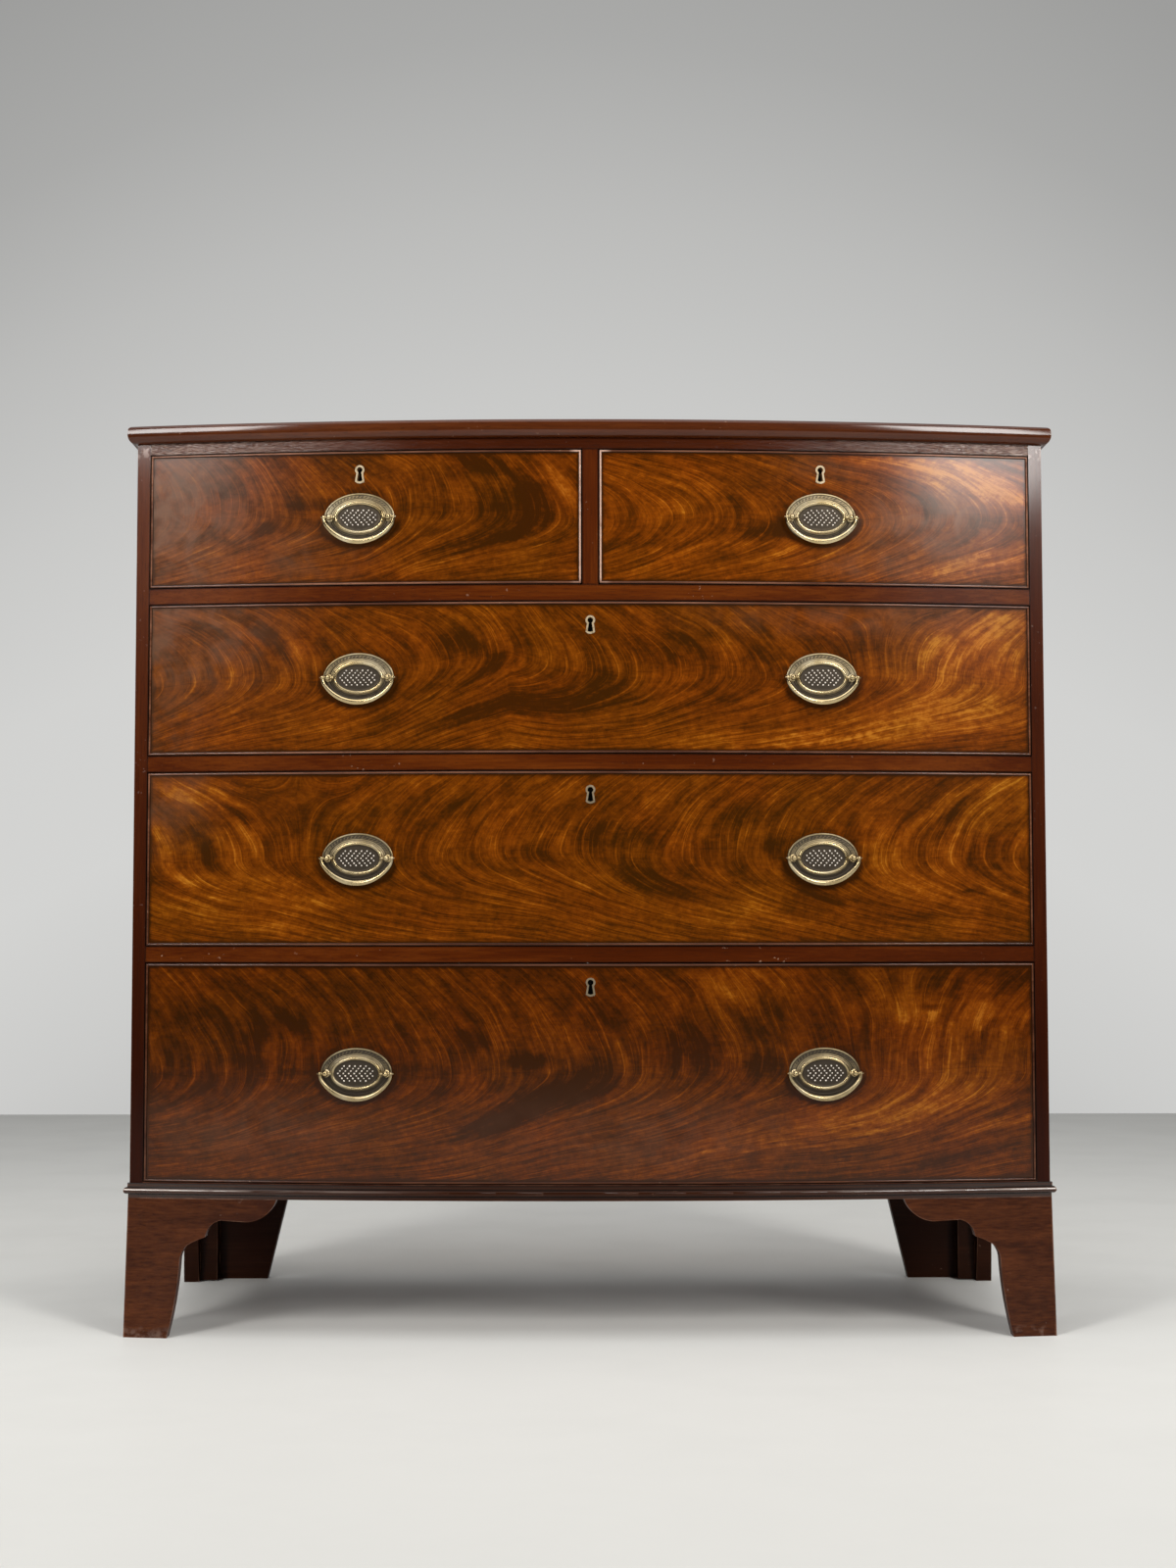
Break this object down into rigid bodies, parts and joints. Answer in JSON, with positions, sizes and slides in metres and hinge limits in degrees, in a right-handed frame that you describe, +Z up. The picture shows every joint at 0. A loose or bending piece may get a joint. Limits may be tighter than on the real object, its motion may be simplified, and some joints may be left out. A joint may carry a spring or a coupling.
{
  "type": "bow front chest of drawers",
  "caption": "Bow front chest with short drawers over long graduated drawers, bracket feet, cockbeaded veneered fronts, oval plate handles with drop bails, and locks.",
  "frame": {"origin": "on the floor, under the middle of the whole chest's box", "axes": "+X to the right seen from the front, +Y to the back, +Z up"},
  "size_m": [1.051, 0.5074, 1.024],
  "materials": {
    "flame_veneer": "flame figured mahogany veneer, French polished",
    "mahogany": "dark red brown mahogany, French polished, worn",
    "pine": "old bare softwood",
    "oak": "old bare oak",
    "brass": "aged brass, dark in the hollows",
    "steel": "dull old steel"
  },
  "bodies": {
    "carcass": {"back_boards": "pine", "base_moulding": "mahogany", "carcass_bottom": "mahogany", "carcass_side_left": "mahogany", "carcass_side_right": "mahogany", "centre_muntin": "mahogany", "drawer_rails": "mahogany", "drawer_runners": "pine", "drawer_stops": "pine", "dustboards": "pine", "foot_front_left": "mahogany", "foot_front_right": "mahogany", "foot_rear_left": "mahogany", "foot_rear_right": "mahogany", "top_board": "mahogany", "top_rails": "mahogany", "top_screws": "steel"},
    "short_left_drawer": {"short_left_box": "oak", "short_left_cockbeads": "mahogany", "short_left_core": "pine", "short_left_handle_fittings": "brass", "short_left_lock": "brass", "short_left_veneer": "flame_veneer"},
    "short_left_bolt": {"short_left_lock_bolt": "steel"},
    "short_left_handle": {"short_left_bail": "brass"},
    "short_right_drawer": {"short_right_box": "oak", "short_right_cockbeads": "mahogany", "short_right_core": "pine", "short_right_handle_fittings": "brass", "short_right_lock": "brass", "short_right_veneer": "flame_veneer"},
    "short_right_bolt": {"short_right_lock_bolt": "steel"},
    "short_right_handle": {"short_right_bail": "brass"},
    "upper_long_drawer": {"upper_long_box": "oak", "upper_long_cockbeads": "mahogany", "upper_long_core": "pine", "upper_long_handle_fittings": "brass", "upper_long_lock": "brass", "upper_long_veneer": "flame_veneer"},
    "upper_long_bolt": {"upper_long_lock_bolt": "steel"},
    "upper_long_handle_left": {"upper_long_bail_left": "brass"},
    "upper_long_handle_right": {"upper_long_bail_right": "brass"},
    "middle_long_drawer": {"middle_long_box": "oak", "middle_long_cockbeads": "mahogany", "middle_long_core": "pine", "middle_long_handle_fittings": "brass", "middle_long_lock": "brass", "middle_long_veneer": "flame_veneer"},
    "middle_long_bolt": {"middle_long_lock_bolt": "steel"},
    "middle_long_handle_left": {"middle_long_bail_left": "brass"},
    "middle_long_handle_right": {"middle_long_bail_right": "brass"},
    "lower_long_drawer": {"lower_long_box": "oak", "lower_long_cockbeads": "mahogany", "lower_long_core": "pine", "lower_long_handle_fittings": "brass", "lower_long_lock": "brass", "lower_long_veneer": "flame_veneer"},
    "lower_long_bolt": {"lower_long_lock_bolt": "steel"},
    "lower_long_handle_left": {"lower_long_bail_left": "brass"},
    "lower_long_handle_right": {"lower_long_bail_right": "brass"}
  },
  "joints": [
    {"name": "short_left_slide", "type": "slide", "parent": "carcass", "child": "short_left_drawer", "axis": [0, -1, 0], "range_m": [0, 0.33]},
    {"name": "short_left_bolt_slide", "type": "slide", "parent": "short_left_drawer", "child": "short_left_bolt", "axis": [0, 0, 1], "range_m": [0, 0.0065]},
    {"name": "short_left_handle_hinge", "type": "hinge", "parent": "short_left_drawer", "child": "short_left_handle", "pos_m": [-0.26017, -0.24081, 0.91405], "axis": [-0.9967, 0.0816, 0], "range_deg": [-6, 170]},
    {"name": "short_right_slide", "type": "slide", "parent": "carcass", "child": "short_right_drawer", "axis": [0, -1, 0], "range_m": [0, 0.33]},
    {"name": "short_right_bolt_slide", "type": "slide", "parent": "short_right_drawer", "child": "short_right_bolt", "axis": [0, 0, 1], "range_m": [0, 0.0065]},
    {"name": "short_right_handle_hinge", "type": "hinge", "parent": "short_right_drawer", "child": "short_right_handle", "pos_m": [0.26017, -0.24081, 0.91405], "axis": [-0.9967, -0.0816, 0], "range_deg": [-6, 170]},
    {"name": "upper_long_slide", "type": "slide", "parent": "carcass", "child": "upper_long_drawer", "axis": [0, -1, 0], "range_m": [0, 0.33]},
    {"name": "upper_long_bolt_slide", "type": "slide", "parent": "upper_long_drawer", "child": "upper_long_bolt", "axis": [0, 0, 1], "range_m": [0, 0.0065]},
    {"name": "upper_long_handle_left_hinge", "type": "hinge", "parent": "upper_long_drawer", "child": "upper_long_handle_left", "pos_m": [-0.26017, -0.24081, 0.7333], "axis": [-0.9967, 0.0816, 0], "range_deg": [-6, 170]},
    {"name": "upper_long_handle_right_hinge", "type": "hinge", "parent": "upper_long_drawer", "child": "upper_long_handle_right", "pos_m": [0.26017, -0.24081, 0.7333], "axis": [-0.9967, -0.0816, 0], "range_deg": [-6, 170]},
    {"name": "middle_long_slide", "type": "slide", "parent": "carcass", "child": "middle_long_drawer", "axis": [0, -1, 0], "range_m": [0, 0.33]},
    {"name": "middle_long_bolt_slide", "type": "slide", "parent": "middle_long_drawer", "child": "middle_long_bolt", "axis": [0, 0, 1], "range_m": [0, 0.0065]},
    {"name": "middle_long_handle_left_hinge", "type": "hinge", "parent": "middle_long_drawer", "child": "middle_long_handle_left", "pos_m": [-0.26017, -0.24081, 0.5313], "axis": [-0.9967, 0.0816, 0], "range_deg": [-6, 170]},
    {"name": "middle_long_handle_right_hinge", "type": "hinge", "parent": "middle_long_drawer", "child": "middle_long_handle_right", "pos_m": [0.26017, -0.24081, 0.5313], "axis": [-0.9967, -0.0816, 0], "range_deg": [-6, 170]},
    {"name": "lower_long_slide", "type": "slide", "parent": "carcass", "child": "lower_long_drawer", "axis": [0, -1, 0], "range_m": [0, 0.33]},
    {"name": "lower_long_bolt_slide", "type": "slide", "parent": "lower_long_drawer", "child": "lower_long_bolt", "axis": [0, 0, 1], "range_m": [0, 0.0065]},
    {"name": "lower_long_handle_left_hinge", "type": "hinge", "parent": "lower_long_drawer", "child": "lower_long_handle_left", "pos_m": [-0.26017, -0.24081, 0.29305], "axis": [-0.9967, 0.0816, 0], "range_deg": [-6, 170]},
    {"name": "lower_long_handle_right_hinge", "type": "hinge", "parent": "lower_long_drawer", "child": "lower_long_handle_right", "pos_m": [0.26017, -0.24081, 0.29305], "axis": [-0.9967, -0.0816, 0], "range_deg": [-6, 170]}
  ]
}
